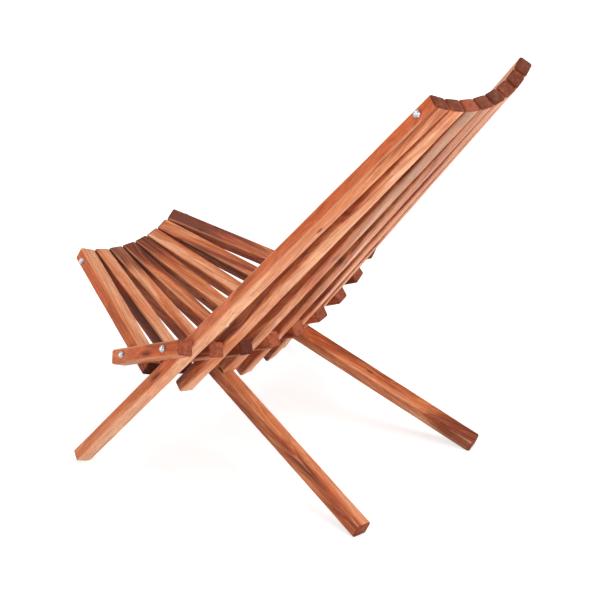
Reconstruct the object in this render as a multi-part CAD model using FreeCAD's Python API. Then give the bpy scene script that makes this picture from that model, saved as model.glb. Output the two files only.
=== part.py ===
import FreeCAD, Part
import math
import os

# Stock, in millimetres
stick_width = 31.0      # across the lanes
back_depth = 23.5       # in the plane of a lane
seat_depth = 27.0
link_depth = 27.0
edge_round = 3.5
cable_radius = 2.5
hole_clearance = 0.05   # radial, cable in a stick or a nut

# Side profile of one lane, angles in degrees from straight back, positive upwards
link_angle = 22.5
back_angle = 50.1
seat_angle = 156.2
cable_spacing = 118.5   # rear seat cable to lower back cable, along a link stick
back_reach = 630.0      # lower back cable to top cable
seat_reach = 277.0      # rear seat cable to front cable
top_margin = 32.5       # top cable to the end of a back stick
front_margin = 28.0     # front cable to the end of a seat stick
link_front_margin = 35.5
link_rear_margin = 40.0
back_tail = 117.0       # lower back cable to the lower end of a plain back stick
seat_tail = 33.0        # rear seat cable to the rear end of a plain seat stick
rest_gap = 0.4          # short back stick to the rear leg that it rests over
foot_cut = 4.0          # lowest corner of a square-cut leg that is trimmed level with the floor

# Fan: every lane is the same profile turned about one sloping axis in front of the back
lane_count = 8
fan_tilt = 25.9         # slope of the fan axis
fan_radius = 550.0      # lower back cable to the fan axis
top_gap = 2.2           # least room between back sticks, at their upper ends
front_gap = 2.3         # between seat sticks, at their front ends
crossing_gap = 2.8      # least room between a back stick and a link stick
leg_lane = 3            # counted from either side
crossing_height = 228.5  # lower back cable of the middle above the floor

# Cable ends
washer_radius = 5.5
washer_thickness = 1.2
nut_across_flats = 6.8
nut_height = 5.2
nut_dome_radius = 3.1
thread_grip = 4.0       # cable end inside the nut
bore_spare = 0.5        # bore beyond the cable end
cable_end_gap = 0.6     # between two pieces of cable in neighbouring sticks

across = FreeCAD.Vector(1, 0, 0)


def slope(angle):
    """Unit vector in the side profile."""
    turn = math.radians(angle)
    return FreeCAD.Vector(0, math.cos(turn), math.sin(turn))


back_pivot = FreeCAD.Vector(0, 0, crossing_height)
seat_pivot = back_pivot - slope(link_angle) * cable_spacing
fan_axis = slope(fan_tilt)
fan_normal = slope(fan_tilt + 90.0)
fan_centre = back_pivot + fan_normal * fan_radius


def fan_distance(point):
    """Distance of a point of the middle profile from the fan axis."""
    return (fan_centre - point).dot(fan_normal)


def turn_for(pitch, point):
    """Degrees between lanes that lie the pitch apart at a point of the middle profile."""
    return 2.0 * math.degrees(math.atan(pitch / (2.0 * fan_distance(point))))


def lane_pitch(point):
    """Distance between neighbouring lanes at a point of the middle profile."""
    return 2.0 * fan_distance(point) * math.tan(math.radians(lane_turn) / 2.0)


top_corner = back_pivot + slope(back_angle) * (back_reach + top_margin)
top_corner = top_corner + slope(back_angle + 90.0) * (back_depth / 2.0)
front_corner = seat_pivot + slope(seat_angle) * (seat_reach + front_margin)
front_corner = front_corner + slope(seat_angle - 90.0) * (seat_depth / 2.0)
lane_turn = max(turn_for(stick_width + top_gap, top_corner),
                turn_for(2.0 * (stick_width + crossing_gap), back_pivot))
# Degrees a seat stick turns inwards for each lane from the middle, so that the front ends close up
front_closing = lane_pitch(front_corner) - stick_width - front_gap
seat_yaw = math.degrees(math.asin(front_closing / (seat_reach + front_margin)))


def short_tail():
    """Length below the lower back cable that just clears the top face of a rear leg."""
    at_seat = math.radians(180.0 + link_angle - seat_angle)
    crossing = math.radians(seat_angle - back_angle)
    to_leg_line = cable_spacing * math.sin(at_seat) / math.sin(crossing)
    lost = seat_depth / 2.0 + back_depth / 2.0 * abs(math.cos(crossing)) + rest_gap
    return to_leg_line - lost / math.sin(crossing)


def turned(shape, pivot, angle):
    """Stand a shape made along Z on the pivot, sloped in the side profile."""
    shape.rotate(FreeCAD.Vector(0, 0, 0), across, angle - 90.0)
    shape.translate(pivot)
    return shape


def in_lane(shape, steps, yaw_pivot=None):
    """Turn a shape from the middle profile to its lane, steps counted from the middle."""
    if yaw_pivot is not None:
        shape.rotate(yaw_pivot, across.cross(slope(seat_angle)), seat_yaw * steps)
    shape.rotate(fan_centre, fan_axis, -lane_turn * steps)
    return shape


def leg_length(pivot, angle, depth, steps, yaw_pivot=None):
    """Length from the pivot down to a foot whose lowest corner lies foot_cut below the floor."""
    turn = FreeCAD.Rotation(fan_axis, -lane_turn * steps)
    if yaw_pivot is not None:
        turn = turn * FreeCAD.Rotation(across.cross(slope(seat_angle)), seat_yaw * steps)
    pivot_in_lane = in_lane(Part.Vertex(pivot), steps, yaw_pivot).Point
    along = turn.multVec(slope(angle))
    corner = stick_width / 2.0 * abs(turn.multVec(across).z)
    corner = corner + depth / 2.0 * abs(turn.multVec(slope(angle + 90.0)).z)
    return (pivot_in_lane.z - corner + foot_cut) / along.z


def stick(depth, low, high, holes):
    """Rounded stick along Z with cross holes at the given heights."""
    corner = FreeCAD.Vector(-stick_width / 2.0, -depth / 2.0, low)
    blank = Part.makeBox(stick_width, depth, high - low, corner)
    body = blank.makeFillet(edge_round, blank.Edges)
    for height in holes:
        start = FreeCAD.Vector(-stick_width, 0, height)
        body = body.cut(Part.makeCylinder(cable_radius + hole_clearance, 2.0 * stick_width, start, across))
    return body


def cable_piece(height, stub, end_side):
    """Cable inside one stick; end_side +1 or -1 runs it into the nut on that side."""
    half = stick_width / 2.0
    reach = {1: half + stub, -1: half + stub}
    if end_side:
        reach[end_side] = half + washer_thickness + thread_grip
    start = FreeCAD.Vector(-reach[-1], 0, height)
    return Part.makeCylinder(cable_radius, reach[1] + reach[-1], start, across)


def cable_end(height, side):
    """Washer and domed nut on the outer side face of a stick."""
    out = across * side
    face = FreeCAD.Vector(side * stick_width / 2.0, 0, height)
    hole = cable_radius + hole_clearance
    washer = Part.makeCylinder(washer_radius, washer_thickness, face, out)
    washer = washer.cut(Part.makeCylinder(hole, washer_thickness, face, out))
    seat = face + out * washer_thickness
    corner_radius = nut_across_flats / math.sqrt(3.0)
    corners = []
    for step in range(7):
        turn = math.radians(60.0 * step)
        corner = FreeCAD.Vector(0, math.cos(turn), math.sin(turn)) * corner_radius
        corners.append(seat + corner)
    nut = Part.Face(Part.makePolygon(corners)).extrude(out * nut_height)
    nut = nut.fuse(Part.makeSphere(nut_dome_radius, seat + out * nut_height))
    nut = nut.cut(Part.makeCylinder(hole, thread_grip + bore_spare, seat, out)).removeSplitter()
    return [washer, nut]


def trimmed(shape):
    """Cut off what lies below the floor."""
    box = shape.BoundBox
    corner = FreeCAD.Vector(box.XMin - foot_cut, box.YMin - foot_cut, -2.0 * foot_cut)
    block = Part.makeBox(box.XLength + 2.0 * foot_cut, box.YLength + 2.0 * foot_cut, 2.0 * foot_cut, corner)
    return shape.cut(block)


def make_piece(name, number, depth, low, high, cables, pivot, angle, steps, end_side, yaw_pivot=None):
    """Add one stick, the cable pieces in it and the cable ends it carries to the nodes.

    cables holds (height, stub beyond the side faces, True if the cable ends on the outermost stick).
    """
    blank = stick(depth, low, high, [cable[0] for cable in cables])
    wood = in_lane(turned(blank, pivot, angle), steps, yaw_pivot)
    nodes[name + "_" + number] = trimmed(wood).Solids
    wires = []
    ends = []
    for height, stub, ends_here in cables:
        side = end_side if ends_here else 0
        wires.append(cable_piece(height, stub, side))
        if side:
            ends.extend(cable_end(height, side))
    for group, label in ((wires, "cable_in_"), (ends, "nuts_on_")):
        placed = [in_lane(turned(shape, pivot, angle), steps, yaw_pivot) for shape in group]
        if placed:
            nodes[label + name + "_" + number] = placed


nodes = {}
top_stub = (lane_pitch(back_pivot + slope(back_angle) * back_reach) - stick_width - cable_end_gap) / 2.0
back_stub = (lane_pitch(back_pivot) / 2.0 - stick_width - cable_end_gap) / 2.0
seat_stub = (lane_pitch(seat_pivot) / 2.0 - stick_width - cable_end_gap) / 2.0
front_stub = (front_gap - cable_end_gap) / 2.0

for lane in range(1, lane_count + 1):
    steps = (lane_count + 1) / 2.0 - lane
    from_side = min(lane, lane_count + 1 - lane)
    end_side = {1: 1, lane_count: -1}.get(lane, 0)
    below = back_tail
    behind = seat_tail
    if from_side == 1:
        below = leg_length(back_pivot, back_angle, back_depth, steps)
    if from_side == leg_lane:
        below = short_tail()
        behind = leg_length(seat_pivot, seat_angle, seat_depth, steps, seat_pivot)
    back_cables = [(0.0, back_stub, False), (back_reach, top_stub, True)]
    make_piece("back_stick", str(lane), back_depth, -below, back_reach + top_margin, back_cables,
               back_pivot, back_angle, steps, end_side)
    seat_cables = [(0.0, seat_stub, False), (seat_reach, front_stub, True)]
    make_piece("seat_stick", str(lane), seat_depth, -behind, seat_reach + front_margin, seat_cables,
               seat_pivot, seat_angle, steps, end_side, seat_pivot)

for link in range(1, lane_count + 2):
    steps = lane_count / 2.0 + 1.0 - link
    end_side = {1: 1, lane_count + 1: -1}.get(link, 0)
    link_cables = [(0.0, back_stub, True), (-cable_spacing, seat_stub, True)]
    make_piece("link_stick", str(link), link_depth, -cable_spacing - link_front_margin, link_rear_margin,
               link_cables, back_pivot, link_angle, steps, end_side)

os.makedirs("parts", exist_ok=True)
whole = Part.makeCompound([shape for shapes in nodes.values() for shape in shapes]).BoundBox
for node, shapes in nodes.items():
    piece = Part.makeCompound(shapes)
    piece.translate(FreeCAD.Vector(0, -whole.Center.y, 0))
    piece.exportStep("parts/" + node + ".step")
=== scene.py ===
import math
import random
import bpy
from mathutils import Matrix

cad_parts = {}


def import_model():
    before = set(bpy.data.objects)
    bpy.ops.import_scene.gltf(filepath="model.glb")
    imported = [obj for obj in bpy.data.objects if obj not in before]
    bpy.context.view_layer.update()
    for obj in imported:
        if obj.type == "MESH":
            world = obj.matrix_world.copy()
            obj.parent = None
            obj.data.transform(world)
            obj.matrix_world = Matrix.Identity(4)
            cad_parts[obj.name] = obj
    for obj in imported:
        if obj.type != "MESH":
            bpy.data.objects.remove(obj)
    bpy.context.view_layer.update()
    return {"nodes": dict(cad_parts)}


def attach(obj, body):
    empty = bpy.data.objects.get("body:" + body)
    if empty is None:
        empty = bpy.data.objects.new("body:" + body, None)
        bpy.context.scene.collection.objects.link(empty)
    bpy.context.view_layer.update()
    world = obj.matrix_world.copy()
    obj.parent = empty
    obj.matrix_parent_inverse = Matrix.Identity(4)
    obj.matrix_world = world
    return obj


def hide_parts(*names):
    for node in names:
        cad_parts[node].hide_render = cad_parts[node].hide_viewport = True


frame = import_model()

from types import SimpleNamespace

import bmesh
import bpy
from mathutils import Matrix, Vector, noise

# Stick shape, in metres
CORNER_RADIUS = 0.0036      # mean rounding of the long edges
CORNER_SPREAD = 0.0008      # how far hand sanding takes it either way
CORNER_LEAST = 0.0006       # smallest rounding, where an end closes in
CORNER_LOSS = 0.4           # share of an end's inset that the rounding loses
CORNER_APART = 7.3          # noise distance from one long edge to the next
CORNER_WAVES = 14.0         # noise waves in a metre of a long edge
CORNER_STEPS = 6
FLAT_STEPS = 3
RING_LENGTH = 0.009
RINGS_LEAST = 8
END_STEPS = 4
SURFACE_WAVE = 0.00018      # hollows left by the plane
HOLLOWS_ACROSS = 60.0       # noise waves in a metre across a stick
HOLLOWS_ALONG = 9.0         # and in a metre along it
FLOOR_LEVEL = 0.00001       # feet end just inside the CAD box

# Cable and fasteners
STRAND_COUNT = 6
STRAND_SIDES = 8
LAY_LENGTH = 0.022          # one full turn of a strand
STRAND_STEP = 0.0012
CORE_OVERLAP = 0.0001       # how far the core reaches into the strands
NUT_SIDES = 48
WASHER_LIMIT = 0.003        # a solid thinner than this is a washer
WASHER_EASE = 0.3           # eased edge, as a share of a washer's thickness
HEX_SHARE = 5.2 / 8.3       # hexagon, as a share of a cap nut's height
HEX_FOOT = 1.02             # radius under the lower chamfer, in half widths across flats
HEX_LOWER = 0.10            # top of the lower chamfer, as a share of the hexagon's height
HEX_UPPER = 0.80            # start of the upper chamfer
HEX_RIM = 0.97              # end of the upper chamfer
DOME_FOOT = 1.04            # radius of the shoulder, in dome radii
DOME_STEPS = 8
DOME_TURN = 0.49 * math.pi  # the dome stops just short of its pole

# Greatest angles between faces that are shaded as one surface
WOOD_SMOOTH = math.radians(35.0)
CABLE_SMOOTH = math.radians(50.0)
NUT_SMOOTH = math.radians(28.0)

# Reading of the CAD meshes
SAME_WAY = 0.9999           # cosine between normals that count as one direction
SQUARE_ON = 0.01            # cosine between normals that count as square to each other
GROUPS_MOST = 40
JOIN_DIGITS = 5             # points that agree to this many decimals of a metre are one
# Way to the leading end of each kind of stick
FORWARD = {"back": Vector((0, 0, 1)), "seat": Vector((0, -1, 0)), "link": Vector((0, 1, 0))}

# Camera fitted to the photograph
CAMERA_PLACE = (1.6394, 1.4017, 1.29481)
CAMERA_RIGHT = (-0.631122, 0.775094, -0.030227)
CAMERA_UP = (-0.344027, -0.244774, 0.906494)
CAMERA_BACK = (0.69522, 0.582507, 0.421135)
CAMERA_LENS = 78.2982
SENSOR_WIDTH = 36.0

# Stage
WHITE = (1.0, 1.0, 1.0, 1.0)
FLOOR_SIZE = 30.0
FLOOR_DROP = 0.0005         # keeps the floor clear of the feet
FLOOR_COLOUR = (0.64, 0.64, 0.64, 1.0)
FLOOR_ROUGHNESS = 0.9
FLOOR_SPECULAR = 0.1
GLOW_REACH = (0.7, 2.0)     # distances between which the floor rises to white
GLOW_LEVEL = (0.69, 1.0)
WORLD_LEVEL = 0.21          # of the light; the background that is seen is white
# Lamps as place, target, diameter in metres and power in watts
LAMPS = {
    "key": ((-0.6, 4.4, 0.9), (0.0, 0.0, 0.35), 2.4, 202.0),
    "side": ((2.9, -0.1, 0.75), (0.0, 0.0, 0.35), 1.6, 37.0),
    "top": ((0.0, 0.4, 3.0), (0.0, 0.0, 0.3), 1.8, 54.0),
}

nodes = frame["nodes"]
STICKS = [name for name in nodes if name.split("_")[1] == "stick"]

# Tone of each stick from 0, dark, to 1, pale; the rest are drawn at random
TONES = {
    "back_stick_1": 0.82, "back_stick_2": 0.59, "back_stick_3": 0.62, "back_stick_4": 0.62,
    "back_stick_5": 0.58, "back_stick_6": 0.62, "back_stick_7": 0.54, "back_stick_8": 0.58,
    "seat_stick_1": 0.60, "seat_stick_2": 0.80, "seat_stick_3": 0.58, "seat_stick_4": 0.36,
    "seat_stick_5": 0.50, "seat_stick_6": 0.57, "seat_stick_7": 0.48, "seat_stick_8": 0.33,
    "link_stick_1": 0.54, "link_stick_2": 0.42, "link_stick_3": 0.20, "link_stick_4": 0.46,
}
# How the tone changes towards a stick's left side, its rear face (upper in the seat, lower in a
# link) and its leading end. These slopes are partly the wood's own tone and partly painted shade:
# the darker left sides and the slopes of back_stick_1 stand in for how the light falls
SLOPES = {
    "back_stick_1": (-0.14, 0.18, -0.62), "back_stick_2": (-0.22, 0.10, -0.08),
    "seat_stick_1": (-0.08, 0.06, 0.0), "seat_stick_2": (-0.20, 0.04, -0.12),
    "seat_stick_3": (-0.23, 0.0, 0.09), "seat_stick_4": (0.10, 0.0, -0.04),
    "seat_stick_5": (0.06, 0.0, -0.22), "seat_stick_6": (0.14, -0.10, 0.12),
    "seat_stick_8": (0.0, 0.0, -0.38), "link_stick_1": (0.0, 0.0, 0.0),
}
# Length of dark heartwood at a stick's leading end, and at its other end; the dark foot of
# seat_stick_1, where it lies in shadow under the first link, is painted shade
DARK_ENDS = {
    "seat_stick_1": (0.0, 0.04), "seat_stick_3": (0.09, 0.0), "seat_stick_4": (0.09, 0.0),
    "seat_stick_5": (0.06, 0.0), "seat_stick_6": (0.0, 0.10),
}
DARK_FADE = 1.5             # the dark end is gone at this many times its length
# Tone of the end grain where the photograph shows it apart from the rest
END_TONES = {
    "back_stick_1": 0.20, "back_stick_2": 0.30, "back_stick_3": 0.90, "back_stick_4": 0.30,
    "back_stick_5": 0.10, "back_stick_6": 0.35, "back_stick_7": 0.20, "back_stick_8": 0.20,
    "link_stick_1": 0.75, "link_stick_2": 0.95, "link_stick_3": 0.12, "link_stick_4": 1.0,
    "link_stick_5": 0.90, "link_stick_6": 0.60, "link_stick_7": 0.60, "link_stick_8": 0.70,
    "seat_stick_3": 0.70, "seat_stick_6": 0.60,
}
END_GRAIN = 0.7             # share of the rounding at an end that shows end grain
# How much redder the two narrow sides of a stick are than its faces
FLANKS = {"back_stick_1": 0.70, "link_stick_1": 0.85, "seat_stick_1": 0.70, "seat_stick_3": 0.0}
FLANK_USUAL = 0.12
FLANK_RISE = 0.3            # more of it towards the leading end
# Painted shade: how much darker the left side of a stick is painted, where its neighbour shadows it,
# than the tone that it would have
PAINTED_SIDE_SHADE = {"seat_stick_2": 0.45, "seat_stick_6": 0.12, "seat_stick_7": 0.08}
# Painted sheen: a greyish veil on the rear faces of some back sticks, in place of the reflection of
# the bright floor
PAINTED_SHEENS = {"back_stick_3": 0.85, "back_stick_4": 0.40, "back_stick_5": 0.30, "back_stick_6": 0.25}
PAINTED_SHEEN_LEAST = 0.1           # share of it on the lower half
PAINTED_SHEEN_MIDDLE = 0.35         # and at the middle, from where it rises to the top
# One knot or dark smear in a stick, as shares of its width and depth and a distance from its middle
KNOTS = {
    "back_stick_1": (0.5, 0.05, -0.23), "back_stick_3": (0.1, 0.5, -0.005),
    "back_stick_4": (0.5, 0.2, -0.014), "link_stick_1": (0.5, 0.10, 0.008),
}

# Ranges of what is drawn at random for a stick
SEED_RANGE = (0.0, 50.0)
TONE_RANGE = (0.38, 0.62)
# The first range always darkens the left side, which is partly painted shade
SLOPE_RANGES = ((-0.22, -0.08), (-0.08, 0.08), (-0.08, 0.08))
END_TONE_RANGE = (0.0, 0.28)
PITH_RANGES = ((0.025, 0.07), (0.02, 0.05))     # distance of the pith, across and through
LEAN_RANGES = ((0.03, 0.12), (0.03, 0.12))      # slope of the grain against the stick

# Point values that the wood's material reads
LOOKS = ("tone", "dark", "end", "edge", "end_tone", "flank", "bloom")


def srgb(red, green, blue):
    """Linear colour of an 8 bit sRGB value."""
    out = []
    for value in (red, green, blue):
        part = value / 255.0
        out.append(part / 12.92 if part <= 0.04045 else ((part + 0.055) / 1.055) ** 2.4)
    return (*out, 1.0)


PALE = srgb(238, 180, 140)
HONEY = srgb(210, 130, 84)
RUSSET = srgb(160, 78, 48)
SIENNA = srgb(200, 98, 56)
UMBER = srgb(92, 42, 28)
KNOT = srgb(48, 20, 14)
END_RED = srgb(160, 82, 56)
END_DARK = srgb(54, 20, 16)
# Grey of the painted sheen
PAINTED_SHEEN_GREY = srgb(146, 120, 104)
FLANK = srgb(216, 106, 62)
WIRE = srgb(176, 178, 182)
PLATED = srgb(186, 188, 192)
ZINC = srgb(104, 105, 110)


def stick_frame(name):
    """Place of a CAD stick, with x across, y through its depth and z along it, and its extents."""
    mesh = nodes[name].data
    faces = sorted(((p.area, p.normal.copy()) for p in mesh.polygons), key=lambda item: -item[0])
    groups = []
    for area, normal in faces:
        for group in groups:
            if abs(group[1].dot(normal)) > SAME_WAY:
                group[0] += area
                break
        else:
            if len(groups) < GROUPS_MOST:
                groups.append([area, normal])
    groups.sort(key=lambda group: -group[0])
    depth = groups[0][1]
    side = next(g[1] for g in groups if abs(g[1].dot(depth)) < SQUARE_ON)
    along = depth.cross(side)
    if side.x < 0:
        side = -side
    if along.dot(FORWARD[name.split("_")[0]]) < 0:
        along = -along
    depth = along.cross(side)
    turn = Matrix((side, depth, along)).transposed()
    local = [turn.transposed() @ v.co for v in mesh.vertices]
    low = Vector([min(v[i] for v in local) for i in range(3)])
    high = Vector([max(v[i] for v in local) for i in range(3)])
    middle = turn @ ((low + high) / 2.0)
    return Matrix.Translation(middle) @ turn.to_4x4(), high - low


def islands(name, place):
    """Local boxes of the separate solids in a CAD node."""
    mesh = nodes[name].data
    parent = {}

    def root(key):
        while parent[key] != key:
            parent[key] = parent[parent[key]]
            key = parent[key]
        return key

    keys = []
    for vertex in mesh.vertices:
        key = tuple(round(c, JOIN_DIGITS) for c in vertex.co)
        parent.setdefault(key, key)
        keys.append(key)
    for face in mesh.polygons:
        first = root(keys[face.vertices[0]])
        for index in face.vertices[1:]:
            parent[root(keys[index])] = first
    back = place.inverted()
    found = {}
    for key, vertex in zip(keys, mesh.vertices):
        point = back @ vertex.co
        low, high = found.setdefault(root(key), (point.copy(), point.copy()))
        for i in range(3):
            low[i] = min(low[i], point[i])
            high[i] = max(high[i], point[i])
    return list(found.values())


def new_object(name, points, faces, material):
    """A mesh object whose vertices are in the row frame."""
    mesh = bpy.data.meshes.new(name)
    mesh.from_pydata([tuple(p) for p in points], [], faces)
    mesh.materials.append(material)
    mesh.validate()
    obj = bpy.data.objects.new(name, mesh)
    bpy.context.collection.objects.link(obj)
    return obj


def smooth(obj, angle):
    """Shade as one surface all faces that meet at less than an angle."""
    for face in obj.data.polygons:
        face.use_smooth = True
    bpy.context.view_layer.objects.active = obj
    obj.select_set(True)
    bpy.ops.object.shade_smooth_by_angle(angle=angle)
    obj.select_set(False)


def tube_faces(rings):
    """Faces between rings of point numbers, and the two faces that close the ends."""
    faces = []
    for first, second in zip(rings, rings[1:]):
        for i in range(len(first)):
            j = (i + 1) % len(first)
            faces.append((first[i], first[j], second[j], second[i]))
    faces.append(tuple(reversed(rings[0])))
    faces.append(tuple(rings[-1]))
    return faces


def section(width, depth, radii):
    """Rounded rectangle as (x, y, edge), with edge 1 in the middle of a rounding and 0 on a flat."""
    out = []
    corners = [(1, 1, 0), (-1, 1, 90), (-1, -1, 180), (1, -1, 270)]
    for index, (sx, sy, start) in enumerate(corners):
        radius = radii[index]
        cx = sx * (width / 2.0 - radius)
        cy = sy * (depth / 2.0 - radius)
        for step in range(CORNER_STEPS + 1):
            share = step / CORNER_STEPS
            turn = math.radians(start + 90.0 * share)
            edge = math.sin(math.pi * share)
            out.append((cx + radius * math.cos(turn), cy + radius * math.sin(turn), edge))
        nx, ny, _ = corners[(index + 1) % 4]
        radius_next = radii[(index + 1) % 4]
        x, y, _ = out[-1]
        goal_x = nx * (width / 2.0 - radius_next) if sx != nx else x
        goal_y = ny * (depth / 2.0 - radius_next) if sx == nx else y
        for step in range(1, FLAT_STEPS):
            share = step / FLAT_STEPS
            out.append((x + (goal_x - x) * share, y + (goal_y - y) * share, 0.0))
    return out


def ring_heights(length):
    """Height and inset of each ring of a stick, on the way to its leading end."""
    half = length / 2.0
    straight = length - 2.0 * CORNER_RADIUS
    count = max(RINGS_LEAST, int(straight / RING_LENGTH))
    rounding = []
    for step in range(END_STEPS + 1):
        turn = 0.5 * math.pi * step / END_STEPS
        height = half - CORNER_RADIUS * (1.0 - math.cos(turn))
        rounding.append((height, CORNER_RADIUS * (1.0 - math.sin(turn))))
    heights = [(-z, inset) for z, inset in rounding]
    heights += [(straight * (step / count - 0.5), 0.0) for step in range(1, count)]
    return heights + rounding[::-1]


def character(name, length):
    """What sets one stick apart from the others, from the tables or drawn at random."""
    rng = random.Random(name)
    own = SimpleNamespace(seed=rng.uniform(*SEED_RANGE))
    own.tone = TONES.get(name, rng.uniform(*TONE_RANGE))
    usual = [rng.uniform(*span) for span in SLOPE_RANGES]
    own.across, own.through, own.lengthways = SLOPES.get(name, usual)
    own.end_tone = END_TONES.get(name, rng.uniform(*END_TONE_RANGE))
    own.pith = [rng.choice((-1, 1)) * rng.uniform(*span) for span in PITH_RANGES]
    own.lean = [rng.choice((-1, 1)) * rng.uniform(*span) for span in LEAN_RANGES]
    own.dark_top, own.dark_foot = DARK_ENDS.get(name, (0.0, 0.0))
    own.flank = FLANKS.get(name, FLANK_USUAL)
    own.dark_side = PAINTED_SIDE_SHADE.get(name, 0.0)
    own.bloom = PAINTED_SHEENS.get(name, 0.0)
    own.knot = KNOTS.get(name, (0.0, 0.0, 2.0 * length))
    return own


def look_at(own, size, point, inset, edge):
    """The LOOKS of a stick at one point of a ring."""
    width, depth, length = size
    x, y, z = point
    half = length / 2.0
    dark = 0.0
    # Dark ends: heartwood, except the foot of seat_stick_1, which is painted shade
    for reach, away in ((own.dark_top, half - z), (own.dark_foot, half + z)):
        if reach:
            dark = max(dark, min(1.0, DARK_FADE - away / reach))
    end = 1.0 if abs(z) > half - END_GRAIN * CORNER_RADIUS else 0.0
    flank = max(0.0, 1.0 - (width / 2.0 - inset - abs(x)) / CORNER_RADIUS)
    # Tone with its slopes, which are partly painted shade
    tone = own.tone + own.across * 2.0 * x / width + own.through * 2.0 * y / depth
    tone += own.lengthways * (1.0 - flank) * z / half
    # Painted shade on the left side, where the neighbouring stick shadows it
    if x > 0.0:
        tone -= own.dark_side * flank
    flank *= 1.0 + FLANK_RISE * z / half
    # Painted sheen mask: the rear face, with more of it towards the top
    bloom = max(0.0, 1.0 - (depth / 2.0 - inset - y) / CORNER_RADIUS)
    bloom *= min(1.0, max(PAINTED_SHEEN_LEAST, PAINTED_SHEEN_MIDDLE + z / half))
    return tone, dark, end, edge, own.end_tone, own.flank * flank, own.bloom * bloom


def make_stick(name, material):
    """Planed and hand-sanded stick in the place of its CAD node; gives that place."""
    place, size = stick_frame(name)
    width, depth, length = size
    own = character(name, length)
    points, grain, knots, looks, rings = [], [], [], [], []
    for z, inset in ring_heights(length):
        radii = []
        for corner in range(4):
            spot = Vector((corner * CORNER_APART + own.seed, z * CORNER_WAVES, own.seed))
            radius = CORNER_RADIUS + CORNER_SPREAD * noise.noise(spot)
            radii.append(max(CORNER_LEAST, radius - inset * CORNER_LOSS))
        ring = []
        for x, y, edge in section(width - 2.0 * inset, depth - 2.0 * inset, radii):
            spot = Vector((x * HOLLOWS_ACROSS + own.seed, y * HOLLOWS_ACROSS, z * HOLLOWS_ALONG))
            hollow = SURFACE_WAVE * (0.5 + 0.5 * noise.noise(spot))
            shrink = 1.0 - hollow / (0.5 * min(width, depth))
            ring.append(len(points))
            points.append(place @ Vector((x * shrink, y * shrink, z)))
            grain.append((x - own.pith[0] + own.lean[0] * z,
                          y - own.pith[1] + own.lean[1] * z, z + own.seed))
            knots.append((x - own.knot[0] * width, y - own.knot[1] * depth, z - own.knot[2]))
            looks.append(look_at(own, size, (x, y, z), inset, edge))
        rings.append(ring)
    obj = new_object(name + "_wood", points, tube_faces(rings), material)
    for label, rows in (("grain", grain), ("knot", knots)):
        layer = obj.data.attributes.new(label, "FLOAT_VECTOR", "POINT")
        layer.data.foreach_set("vector", [c for row in rows for c in row])
    for index, label in enumerate(LOOKS):
        layer = obj.data.attributes.new(label, "FLOAT", "POINT")
        layer.data.foreach_set("value", [row[index] for row in looks])
    trim_foot(obj)
    smooth(obj, WOOD_SMOOTH)
    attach(obj, name)
    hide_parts(name)
    return place


def trim_foot(obj):
    """Level the foot of a leg at the floor."""
    if min(v.co.z for v in obj.data.vertices) >= FLOOR_LEVEL:
        return
    work = bmesh.new()
    work.from_mesh(obj.data)
    cut = bmesh.ops.bisect_plane(work, geom=work.verts[:] + work.edges[:] + work.faces[:],
                                 plane_co=(0, 0, FLOOR_LEVEL), plane_no=(0, 0, 1), clear_inner=True)
    edges = [e for e in cut["geom_cut"] if isinstance(e, bmesh.types.BMEdge)]
    bmesh.ops.contextual_create(work, geom=edges)
    bmesh.ops.recalc_face_normals(work, faces=work.faces[:])
    work.to_mesh(obj.data)
    work.free()


def make_cable(name, place, boxes, material):
    """Wire rope of twisted strands about a core, one length for each hole of a stick."""
    points, faces = [], []
    for low, high in boxes:
        radius = (high.y - low.y) / 2.0
        fit = math.sin(math.pi / STRAND_COUNT)
        strand = radius * fit / (1.0 + fit)
        cy, cz = (low.y + high.y) / 2.0, (low.z + high.z) / 2.0
        steps = max(2, int((high.x - low.x) / STRAND_STEP))
        for number in range(STRAND_COUNT + 1):
            if number < STRAND_COUNT:
                offset, thick = radius - strand, strand
            else:
                offset, thick = 0.0, radius - 2.0 * strand + CORE_OVERLAP
            rings = []
            for step in range(steps + 1):
                x = low.x + (high.x - low.x) * step / steps
                turn = 2.0 * math.pi * (number / STRAND_COUNT + x / LAY_LENGTH)
                ring = []
                for k in range(STRAND_SIDES):
                    around = 2.0 * math.pi * k / STRAND_SIDES
                    y = cy + offset * math.cos(turn) + thick * math.cos(around)
                    z = cz + offset * math.sin(turn) + thick * math.sin(around)
                    ring.append(len(points))
                    points.append(place @ Vector((x, y, z)))
                rings.append(ring)
            faces += tube_faces(rings)
    obj = new_object(name + "_strands", points, faces, material)
    smooth(obj, CABLE_SMOOTH)
    return obj


def round_radius(radius):
    """Outline of a circle, as a radius for each angle."""
    return lambda turn: radius


def hex_radius(flat, limit):
    """Outline of a hexagon that is cut off at a limit, as a radius for each angle."""
    def radius(turn):
        off = turn % (math.pi / 3.0) - math.pi / 6.0
        return min(flat / math.cos(off), limit)
    return radius


def washer_profile(flat, thick):
    """Heights and outlines of a washer with eased edges."""
    ease = WASHER_EASE * thick
    steps = ((0.0, ease), (WASHER_EASE, 0.0), (1.0 - WASHER_EASE, 0.0), (1.0, ease))
    return [(share * thick, round_radius(flat - inset)) for share, inset in steps]


def cap_profile(flat, thick):
    """Heights and outlines of a cap nut, a chamfered hexagon under a dome."""
    hexagon = HEX_SHARE * thick
    dome = thick - hexagon
    corner = flat / math.cos(math.pi / 6.0)
    profile = [(0.0, hex_radius(flat, flat * HEX_FOOT)),
               (HEX_LOWER * hexagon, hex_radius(flat, corner)),
               (HEX_UPPER * hexagon, hex_radius(flat, corner)),
               (HEX_RIM * hexagon, hex_radius(flat, flat)),
               (hexagon, hex_radius(flat, dome * DOME_FOOT))]
    for step in range(DOME_STEPS + 1):
        lift = DOME_TURN * step / DOME_STEPS
        profile.append((hexagon + dome * math.sin(lift), round_radius(dome * math.cos(lift))))
    return profile


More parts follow.
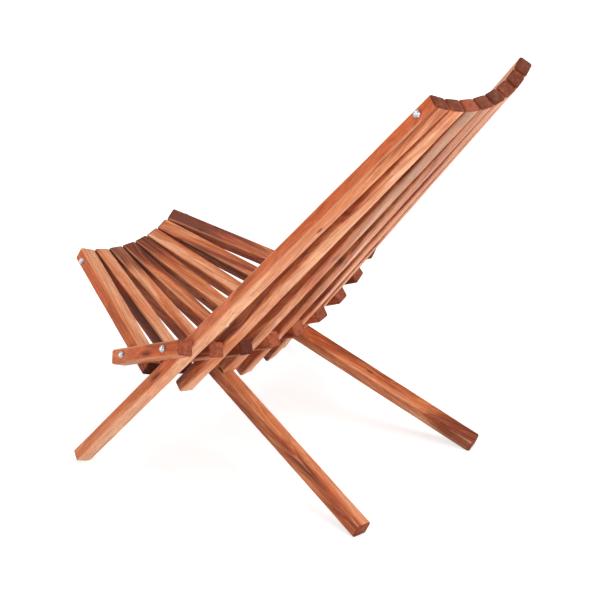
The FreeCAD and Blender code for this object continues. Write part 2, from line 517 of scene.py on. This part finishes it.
def make_nuts(name, place, boxes, material, washer_material):
    """Bright cap nuts, each on a duller washer."""
    points, faces, dull = [], [], []
    for low, high in boxes:
        side = 1.0 if low.x > 0.0 else -1.0
        base, tip = (low.x, high.x) if side > 0.0 else (high.x, low.x)
        cy, cz = (low.y + high.y) / 2.0, (low.z + high.z) / 2.0
        thick = abs(tip - base)
        flat = (high.z - low.z) / 2.0
        washer = thick < WASHER_LIMIT
        angles = [side * 2.0 * math.pi * k / NUT_SIDES for k in range(NUT_SIDES)]
        rings = []
        for height, radius in (washer_profile if washer else cap_profile)(flat, thick):
            rings.append(range(len(points), len(points) + NUT_SIDES))
            for a in angles:
                y, z = cy + radius(a) * math.cos(a), cz + radius(a) * math.sin(a)
                points.append(place @ Vector((base + side * height, y, z)))
        first_face = len(faces)
        faces += tube_faces(rings)
        if washer:
            dull.extend(range(first_face, len(faces)))
    obj = new_object(name + "_bright", points, faces, material)
    obj.data.materials.append(washer_material)
    for index in dull:
        obj.data.polygons[index].material_index = 1
    smooth(obj, NUT_SMOOTH)
    return obj


def build_material(name):
    """A new material with its Principled shader."""
    material = bpy.data.materials.new(name)
    material.use_nodes = True
    tree = material.node_tree
    return material, tree, tree.nodes["Principled BSDF"]


class Graph:
    """Short calls for the shader nodes of one material."""

    # Sockets of the Mix node in its colour mode
    MIX_FIRST, MIX_SECOND, MIX_RESULT = 6, 7, 2

    def __init__(self, tree):
        self.tree = tree

    def node(self, kind, **settings):
        made = self.tree.nodes.new(kind)
        for key, value in settings.items():
            setattr(made, key, value)
        return made

    def link(self, value, socket):
        if isinstance(value, bpy.types.NodeSocket):
            self.tree.links.new(value, socket)
        else:
            socket.default_value = value

    def value(self, name):
        return self.node("ShaderNodeAttribute", attribute_name=name).outputs["Fac"]

    def vector(self, name):
        return self.node("ShaderNodeAttribute", attribute_name=name).outputs["Vector"]

    def math(self, operation, first, second=0.0):
        made = self.node("ShaderNodeMath", operation=operation)
        self.link(first, made.inputs[0])
        self.link(second, made.inputs[1])
        return made.outputs[0]

    def add(self, first, second):
        return self.math("ADD", first, second)

    def times(self, first, second):
        return self.math("MULTIPLY", first, second)

    def swing(self, field, reach):
        """A field from 0 to 1 taken about its middle and stretched."""
        return self.times(self.math("SUBTRACT", field, 0.5), reach)

    def scaled(self, vector, scale):
        made = self.node("ShaderNodeVectorMath", operation="MULTIPLY")
        self.link(vector, made.inputs[0])
        made.inputs[1].default_value = scale
        return made.outputs[0]

    def added(self, vector, other):
        made = self.node("ShaderNodeVectorMath", operation="ADD")
        self.link(vector, made.inputs[0])
        self.link(other, made.inputs[1])
        return made.outputs[0]

    def length(self, vector):
        made = self.node("ShaderNodeVectorMath", operation="LENGTH")
        self.link(vector, made.inputs[0])
        return made.outputs["Value"]

    def noise_node(self, vector, waves, detail, roughness=0.5, distortion=0.0):
        """Noise with a number of waves in a metre along each axis."""
        made = self.node("ShaderNodeTexNoise")
        self.link(self.scaled(vector, waves), made.inputs["Vector"])
        made.inputs["Scale"].default_value = 1.0
        made.inputs["Detail"].default_value = detail
        made.inputs["Roughness"].default_value = roughness
        made.inputs["Distortion"].default_value = distortion
        return made

    def noise(self, vector, waves, **settings):
        return self.noise_node(vector, waves, **settings).outputs["Fac"]

    def ramp(self, value, low, high, to_low=0.0, to_high=1.0):
        """Smooth step from to_low to to_high as a value goes from low to high."""
        made = self.node("ShaderNodeMapRange", interpolation_type="SMOOTHSTEP", clamp=True)
        for item, socket in zip((value, low, high, to_low, to_high), made.inputs):
            self.link(item, socket)
        return made.outputs[0]

    def mix(self, factor, first, second, blend="MIX"):
        made = self.node("ShaderNodeMix", data_type="RGBA", blend_type=blend)
        self.link(factor, made.inputs[0])
        self.link(first, made.inputs[self.MIX_FIRST])
        self.link(second, made.inputs[self.MIX_SECOND])
        return made.outputs[self.MIX_RESULT]

    def veil(self, body, colour, field, low, high, share):
        """Lay a share of a colour over a body as a field goes from low to high."""
        return self.mix(self.times(self.ramp(field, low, high), share), body, colour)

    def bump(self, height, strength, distance):
        made = self.node("ShaderNodeBump")
        made.inputs["Strength"].default_value = strength
        made.inputs["Distance"].default_value = distance
        self.link(height, made.inputs["Height"])
        return made.outputs[0]

    def seen(self):
        """1 for a ray that shows what it meets, 0 for one that only gathers light."""
        path = self.node("ShaderNodeLightPath")
        shown = self.math("MAXIMUM", path.outputs["Is Camera Ray"], path.outputs["Is Glossy Ray"])
        return self.math("MAXIMUM", shown, path.outputs["Is Transmission Ray"])


def wood():
    """Oiled hardwood: growth rings about an off-centre pith, heartwood, pores and dark end grain."""
    material, tree, shader = build_material("oiled_hardwood")
    g = Graph(tree)
    place, spot = g.vector("grain"), g.vector("knot")
    tone, dark_zone, end, edge, end_tone, flank, bloom = [g.value(label) for label in LOOKS]

    # Wavy grain, and the distance from the pith that the growth rings follow
    sway = g.noise_node(place, (16.0, 16.0, 4.5), detail=2.0).outputs["Color"]
    shift = g.scaled(g.added(sway, (-0.5, -0.5, -0.5)), (0.030, 0.030, 0.0))
    grain = g.added(place, shift)
    parts = g.node("ShaderNodeSeparateXYZ")
    g.link(grain, parts.inputs[0])
    squares = [g.math("POWER", parts.outputs[axis], 2.0) for axis in range(2)]
    rings = g.node("ShaderNodeCombineXYZ")
    g.link(g.math("SQRT", g.add(*squares)), rings.inputs[0])
    g.link(parts.outputs[2], rings.inputs[2])
    years = rings.outputs[0]

    ring = g.noise(years, (900.0, 1.0, 1.4), detail=2.0, roughness=0.5)
    band = g.noise(years, (260.0, 1.0, 1.8), detail=4.0, roughness=0.62)
    heart = g.noise(years, (70.0, 1.0, 5.0), detail=4.0, roughness=0.58)
    broad = g.noise(grain, (40.0, 40.0, 4.0), detail=4.0, roughness=0.6, distortion=0.6)
    streak = g.noise(grain, (190.0, 190.0, 9.0), detail=4.0, roughness=0.62, distortion=0.3)
    mottle = g.noise(grain, (340.0, 340.0, 22.0), detail=3.0, roughness=0.6)
    fibre = g.noise(grain, (900.0, 900.0, 26.0), detail=3.0, roughness=0.6)
    pores = g.noise(grain, (1300.0, 1300.0, 70.0), detail=2.0, roughness=0.5)
    red = g.noise(grain, (22.0, 22.0, 3.0), detail=3.0, roughness=0.5)

    # Sapwood to heartwood by tone, with redder sides and darker streaks
    light = g.add(g.add(g.times(tone, 0.9), g.swing(broad, 1.5)), g.swing(band, 0.6))
    body = g.mix(g.ramp(light, low=0.14, high=0.46), RUSSET, HONEY)
    body = g.mix(g.ramp(light, low=0.42, high=0.86), body, PALE)
    body = g.mix(flank, body, FLANK)
    body = g.veil(body, SIENNA, red, low=0.46, high=0.68, share=0.45)
    body = g.veil(body, RUSSET, ring, low=0.46, high=0.72, share=0.20)
    body = g.veil(body, RUSSET, streak, low=0.46, high=0.72, share=0.50)

    # Bands of dark heartwood, more of them in a darker stick, and the dark ends
    heart_line = g.math("SUBTRACT", 0.80, g.times(g.math("SUBTRACT", 0.6, tone), 0.55))
    heart_line = g.math("SUBTRACT", heart_line, g.times(flank, 0.03))
    heart_over = g.math("SUBTRACT", g.add(heart, g.times(streak, 0.30)), heart_line)
    heart_pale = g.ramp(g.add(band, g.swing(tone, 0.5)), low=0.32, high=0.58)
    heart_colour = g.mix(heart_pale, UMBER, RUSSET)
    body = g.veil(body, heart_colour, heart_over, low=-0.14, high=0.12, share=0.85)
    # Dark ends: heartwood, except the foot of seat_stick_1, where they are painted shade
    dark_part = g.ramp(g.add(dark_zone, g.swing(heart, 1.8)), low=0.25, high=0.95)
    dark_part = g.times(dark_part, g.ramp(dark_zone, low=0.0, high=0.4, to_high=0.80))
    body = g.mix(dark_part, body, g.mix(g.ramp(band, low=0.38, high=0.66), KNOT, RUSSET))

    # Fibres and pores
    fine = g.times(g.ramp(fibre, low=0.30, high=0.70, to_low=0.82, to_high=1.12),
                   g.ramp(mottle, low=0.28, high=0.66, to_low=0.86, to_high=1.08))
    fine_colour = g.node("ShaderNodeCombineColor")
    for index in range(3):
        g.link(fine, fine_colour.inputs[index])
    body = g.mix(1.0, body, fine_colour.outputs[0], "MULTIPLY")
    pore_part = g.ramp(pores, low=0.60, high=0.72)
    body = g.mix(g.times(pore_part, 0.38), body, UMBER)

    # Pin knots here and there, and the one mark that a stick may have
    cells = g.node("ShaderNodeTexVoronoi", voronoi_dimensions="3D", feature="F1")
    g.link(g.scaled(grain, (42.0, 42.0, 15.0)), cells.inputs["Vector"])
    cells.inputs["Scale"].default_value = 1.0
    pick = g.node("ShaderNodeSeparateColor")
    g.link(cells.outputs["Color"], pick.inputs[0])
    pin = g.ramp(cells.outputs["Distance"], low=0.06, high=0.16, to_low=1.0, to_high=0.0)
    pin = g.times(pin, g.math("GREATER_THAN", pick.outputs[0], 0.84))
    body = g.mix(g.times(pin, 0.8), body, KNOT)
    mark = g.scaled(g.added(spot, g.scaled(shift, (0.25, 0.25, 0.0))), (1.0, 1.0, 0.30))
    away = g.add(g.length(mark), g.swing(streak, 0.014))
    body = g.mix(g.ramp(away, low=0.0010, high=0.0075, to_low=0.74, to_high=0.0), body, KNOT)

    # Painted highlight along the rounded edges, and painted sheen
    body = g.mix(g.times(edge, g.times(g.ramp(broad, low=0.32, high=0.58), 0.34)), body, PALE)
    # Painted sheen on the rear faces, broken up by the streaks
    body = g.mix(g.times(bloom, g.ramp(streak, low=0.70, high=0.40)), body, PAINTED_SHEEN_GREY)

    end_speckle = g.noise(place, (620.0, 620.0, 20.0), detail=4.0, roughness=0.65)
    end_patch = g.noise(place, (130.0, 130.0, 20.0), detail=3.0, roughness=0.6)
    end_body = g.mix(end_tone, END_DARK, END_RED)
    end_body = g.veil(end_body, END_DARK, ring, low=0.42, high=0.62, share=0.40)
    end_body = g.veil(end_body, UMBER, end_speckle, low=0.42, high=0.64, share=0.50)
    end_body = g.veil(end_body, END_DARK, end_patch, low=0.46, high=0.68, share=0.50)
    end_body = g.veil(end_body, HONEY, end_patch, low=0.46, high=0.28, share=0.16)
    body = g.mix(g.times(end, 0.94), body, end_body)
    g.link(body, shader.inputs["Base Color"])

    rough = g.ramp(fibre, low=0.3, high=0.7, to_low=0.38, to_high=0.50)
    rough = g.add(g.add(rough, g.times(pore_part, 0.15)), g.times(end, 0.35))
    g.link(rough, shader.inputs["Roughness"])
    height = g.add(g.add(g.times(fibre, 0.6), g.times(pore_part, -0.8)), g.times(ring, 0.25))
    g.link(g.bump(height, strength=0.35, distance=0.00025), shader.inputs["Normal"])
    shader.inputs["Specular IOR Level"].default_value = 0.14
    return material


def steel(name, colour, rough_low, rough_high, waves):
    """Bright plated steel with fine tool marks and a few dull spots."""
    material, tree, shader = build_material(name)
    g = Graph(tree)
    coords = g.node("ShaderNodeTexCoord").outputs["Object"]
    marks = g.noise(coords, (waves,) * 3, detail=4.0, roughness=0.6)
    spots = g.noise(coords, (waves * 0.3,) * 3, detail=3.0, roughness=0.5)
    dull = tuple(c * 0.72 for c in colour[:3]) + (1.0,)
    g.link(g.mix(g.ramp(spots, low=0.5, high=0.72), colour, dull), shader.inputs["Base Color"])
    rough = g.ramp(marks, low=0.3, high=0.7, to_low=rough_low, to_high=rough_high)
    g.link(rough, shader.inputs["Roughness"])
    shader.inputs["Metallic"].default_value = 1.0
    g.link(g.bump(marks, strength=0.06, distance=0.00005), shader.inputs["Normal"])
    return material


def floor():
    """Pale floor that keeps the shadow near the object and goes to white further out."""
    reach = FLOOR_SIZE
    corners = [(-reach, -reach, 0), (reach, -reach, 0), (reach, reach, 0), (-reach, reach, 0)]
    material, tree, shader = build_material("studio_floor")
    g = Graph(tree)
    shader.inputs["Roughness"].default_value = FLOOR_ROUGHNESS
    shader.inputs["Specular IOR Level"].default_value = FLOOR_SPECULAR
    shader.inputs["Base Color"].default_value = FLOOR_COLOUR
    shader.inputs["Emission Color"].default_value = WHITE
    away = g.length(g.node("ShaderNodeTexCoord").outputs["Object"])
    glow = g.ramp(away, *GLOW_REACH, *GLOW_LEVEL)
    g.link(g.times(g.seen(), glow), shader.inputs["Emission Strength"])
    obj = new_object("floor", corners, [(0, 1, 2, 3)], material)
    obj.location.z = -FLOOR_DROP


def world():
    """Even studio light, with a white background where it is seen."""
    made = bpy.data.worlds.new("studio")
    bpy.context.scene.world = made
    made.use_nodes = True
    tree = made.node_tree
    tree.nodes.clear()
    g = Graph(tree)
    back = g.node("ShaderNodeBackground")
    back.inputs["Color"].default_value = WHITE
    strength = g.ramp(g.seen(), low=0.0, high=1.0, to_low=WORLD_LEVEL, to_high=1.0)
    g.link(strength, back.inputs["Strength"])
    out = g.node("ShaderNodeOutputWorld")
    g.link(back.outputs[0], out.inputs[0])


def lamp(name, place, target, size, power):
    """Soft round lamp turned to a target."""
    data = bpy.data.lights.new(name, "AREA")
    data.shape = "DISK"
    data.size = size
    data.energy = power
    obj = bpy.data.objects.new(name, data)
    obj.location = place
    way = Vector(target) - Vector(place)
    obj.rotation_euler = way.to_track_quat("-Z", "Y").to_euler()
    bpy.context.collection.objects.link(obj)


oiled = wood()
wire = steel("wire_rope", WIRE, rough_low=0.25, rough_high=0.42, waves=1400.0)
plated = steel("plated_nut", PLATED, rough_low=0.30, rough_high=0.40, waves=2500.0)
zinc = steel("zinc_washer", ZINC, rough_low=0.30, rough_high=0.42, waves=2500.0)

for stick in STICKS:
    at = make_stick(stick, oiled)
    cable = "cable_in_" + stick
    rope = make_cable(cable, at, islands(cable, at), wire)
    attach(rope, stick)
    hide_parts(cable)
    ends = "nuts_on_" + stick
    if ends in nodes:
        caps = make_nuts(ends, at, islands(ends, at), plated, zinc)
        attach(caps, stick)
        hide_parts(ends)

floor()
world()
for label, settings in LAMPS.items():
    lamp(label, *settings)

camera_data = bpy.data.cameras.new("photo_view")
camera_data.lens = CAMERA_LENS
camera_data.sensor_width = SENSOR_WIDTH
camera = bpy.data.objects.new("photo_view", camera_data)
camera_turn = Matrix((CAMERA_RIGHT, CAMERA_UP, CAMERA_BACK)).transposed()
camera.matrix_world = Matrix.Translation(CAMERA_PLACE) @ camera_turn.to_4x4()
bpy.context.collection.objects.link(camera)
bpy.context.scene.camera = camera
bpy.context.scene.view_settings.view_transform = "Standard"
